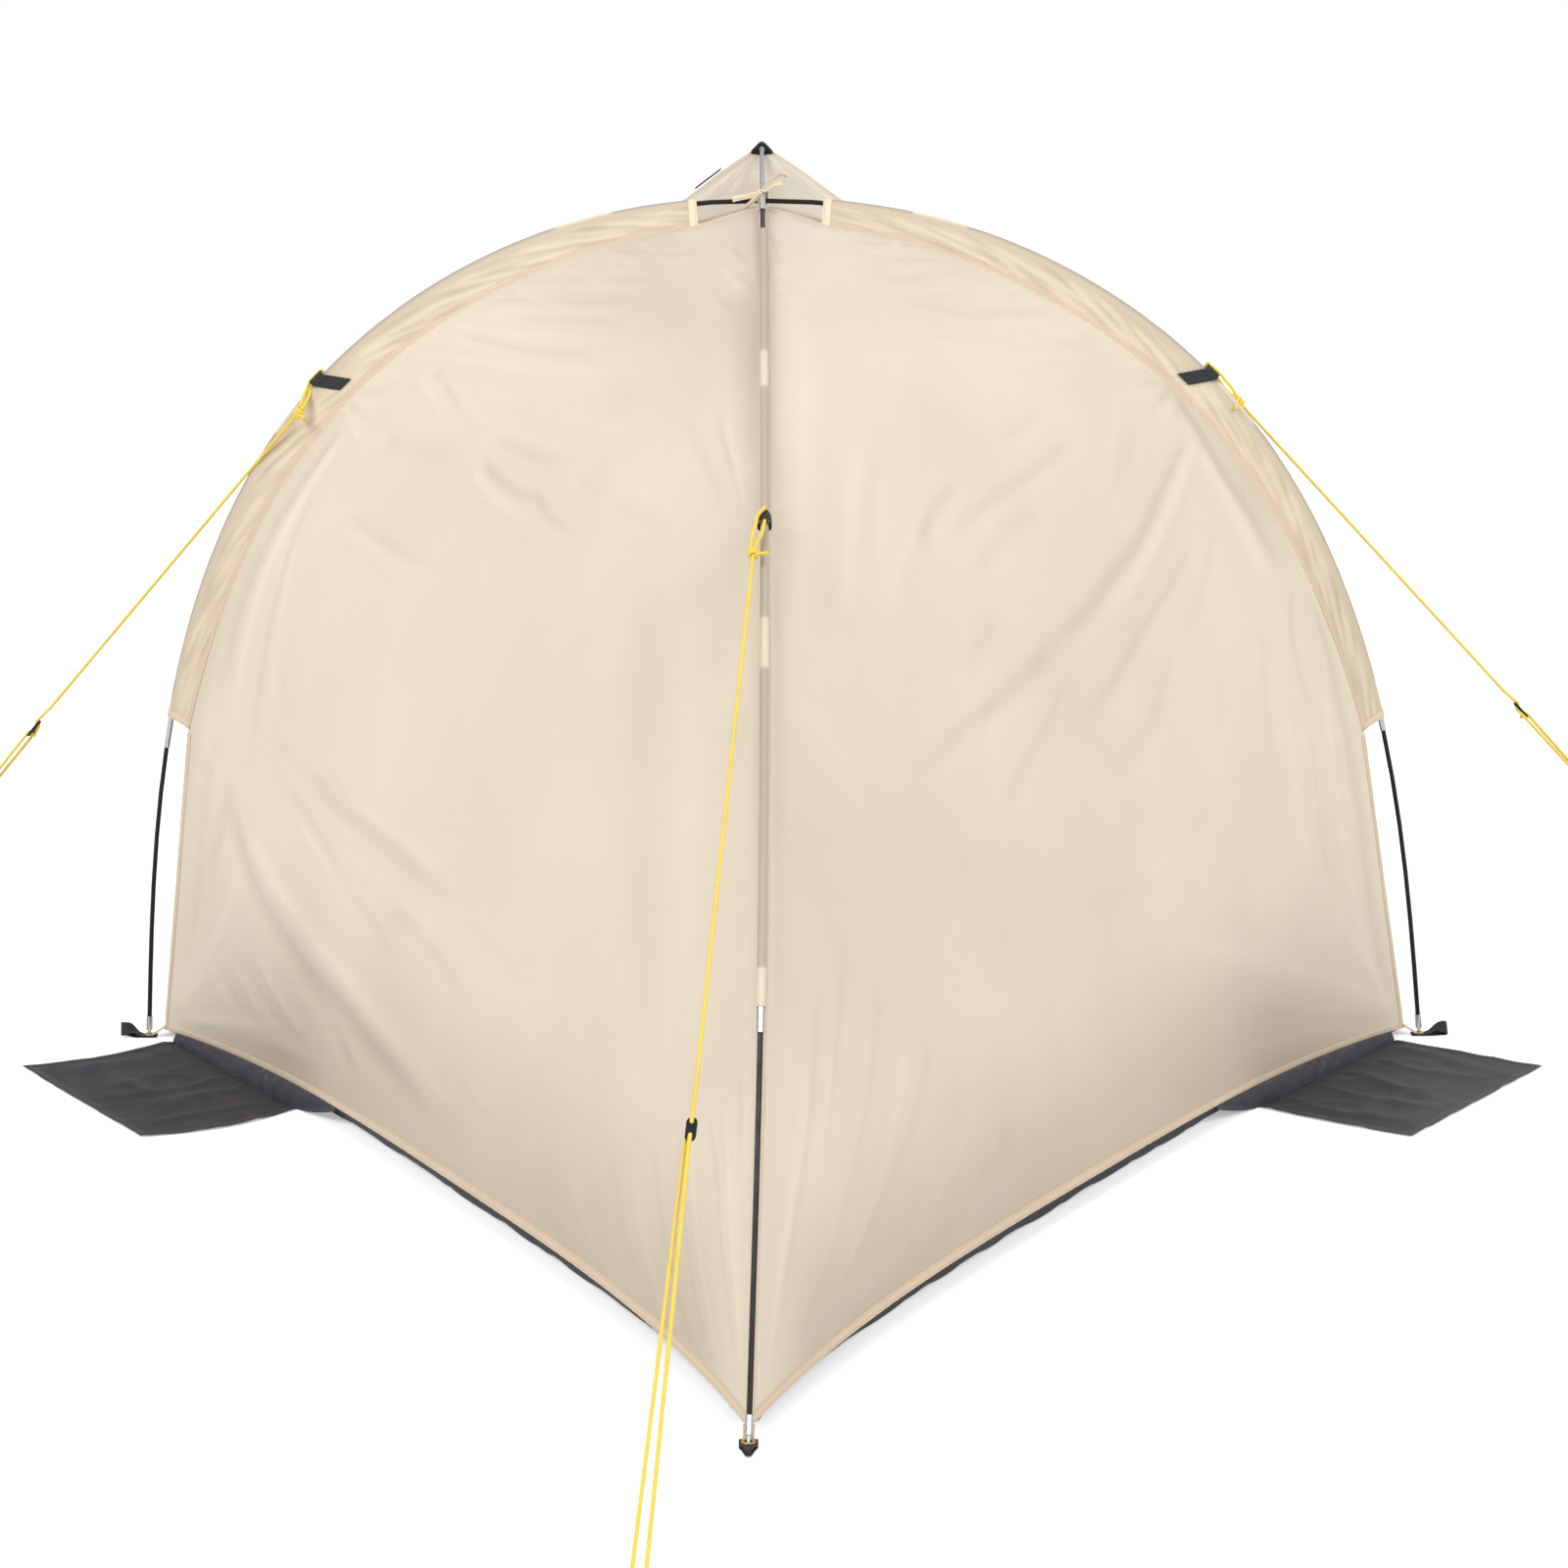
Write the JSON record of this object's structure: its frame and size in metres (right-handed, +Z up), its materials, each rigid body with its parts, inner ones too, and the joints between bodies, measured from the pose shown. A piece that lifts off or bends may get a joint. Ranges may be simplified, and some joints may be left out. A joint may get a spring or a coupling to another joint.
{
  "type": "beach tent",
  "caption": "Open-fronted beach tent on an arch pole and a ridge pole, with a brow, sewn-in groundsheet, hinged sand flaps and guy lines with sliding runners.",
  "frame": {"origin": "on the ground, midway between the two feet of the arch pole, on the underside of the groundsheet", "axes": "+Y out of the open front, +Z up, +X to the right as seen from behind the back corner"},
  "size_m": [3.4317, 2.9197, 1.5079],
  "materials": {
    "rod": "gloss",
    "steel": "satin",
    "shock": "matte",
    "sand": "satin",
    "peach": "matte",
    "grey": "matte",
    "webbing": "matte",
    "black": "matte",
    "brass": "polished",
    "yellow": "matte"
  },
  "bodies": {
    "tent": {"arch_rod_1": "rod", "arch_rod_2": "rod", "arch_rod_3": "rod", "arch_rod_4": "rod", "arch_rod_5": "rod", "arch_rod_6": "rod", "arch_rod_7": "rod", "arch_ferrule_1": "steel", "arch_ferrule_2": "steel", "arch_ferrule_3": "steel", "arch_ferrule_4": "steel", "arch_ferrule_5": "steel", "arch_ferrule_6": "steel", "arch_shock_cord": "shock", "arch_tip_left": "steel", "arch_tip_right": "steel", "ridge_rod_1": "rod", "ridge_rod_2": "rod", "ridge_rod_3": "rod", "ridge_rod_4": "rod", "ridge_rod_5": "rod", "ridge_ferrule_1": "steel", "ridge_ferrule_2": "steel", "ridge_ferrule_3": "steel", "ridge_ferrule_4": "steel", "ridge_shock_cord": "shock", "ridge_tip_back": "steel", "ridge_tip_front": "steel", "wall_left": "sand", "wall_right": "sand", "arch_sleeve_left": "peach", "arch_sleeve_right": "peach", "ridge_sleeve": "peach", "brow": "sand", "brow_strap": "webbing", "peak_cap": "black", "groundsheet": "grey", "flap_gusset_left": "grey", "flap_gusset_right": "grey", "foot_strap_left": "webbing", "foot_strap_right": "webbing", "foot_strap_back": "webbing", "foot_eyelet_left": "brass", "foot_eyelet_right": "brass", "foot_eyelet_back": "brass", "guy_tab_left": "webbing", "guy_tab_right": "webbing", "guy_tab_back": "webbing", "guy_line_left": "yellow", "guy_line_right": "yellow", "guy_line_back": "yellow", "crossing_tie": "peach"},
    "flap_left": {"sand_flap_left": "grey"},
    "flap_right": {"sand_flap_right": "grey"},
    "runner_left": {"line_runner_left": "black", "guy_end_knot_left": "yellow"},
    "runner_right": {"line_runner_right": "black", "guy_end_knot_right": "yellow"},
    "runner_back": {"line_runner_back": "black", "guy_end_knot_back": "yellow"}
  },
  "joints": [
    {"name": "flap_left_fold", "type": "hinge", "parent": "tent", "child": "flap_left", "pos_m": [-0.92534, -0.23405, 0.0016], "axis": [-0.5509, 0.8346, 0], "range_deg": [0, 90]},
    {"name": "flap_right_fold", "type": "hinge", "parent": "tent", "child": "flap_right", "pos_m": [0.91135, -0.23341, 0.0016], "axis": [-0.5858, -0.8105, 0], "range_deg": [0, 90]},
    {"name": "runner_left_slide", "type": "slide", "parent": "tent", "child": "runner_left", "axis": [-0.6384, 0.1778, -0.7489], "range_m": [-0.5, 0.4], "deforming": ["guy_line_left"]},
    {"name": "runner_right_slide", "type": "slide", "parent": "tent", "child": "runner_right", "axis": [0.6576, 0.1974, -0.7271], "range_m": [-0.5, 0.4], "deforming": ["guy_line_right"]},
    {"name": "runner_back_slide", "type": "slide", "parent": "tent", "child": "runner_back", "axis": [-0.0719, -0.8265, -0.5584], "range_m": [-0.8, 0.5], "deforming": ["guy_line_back"]}
  ]
}
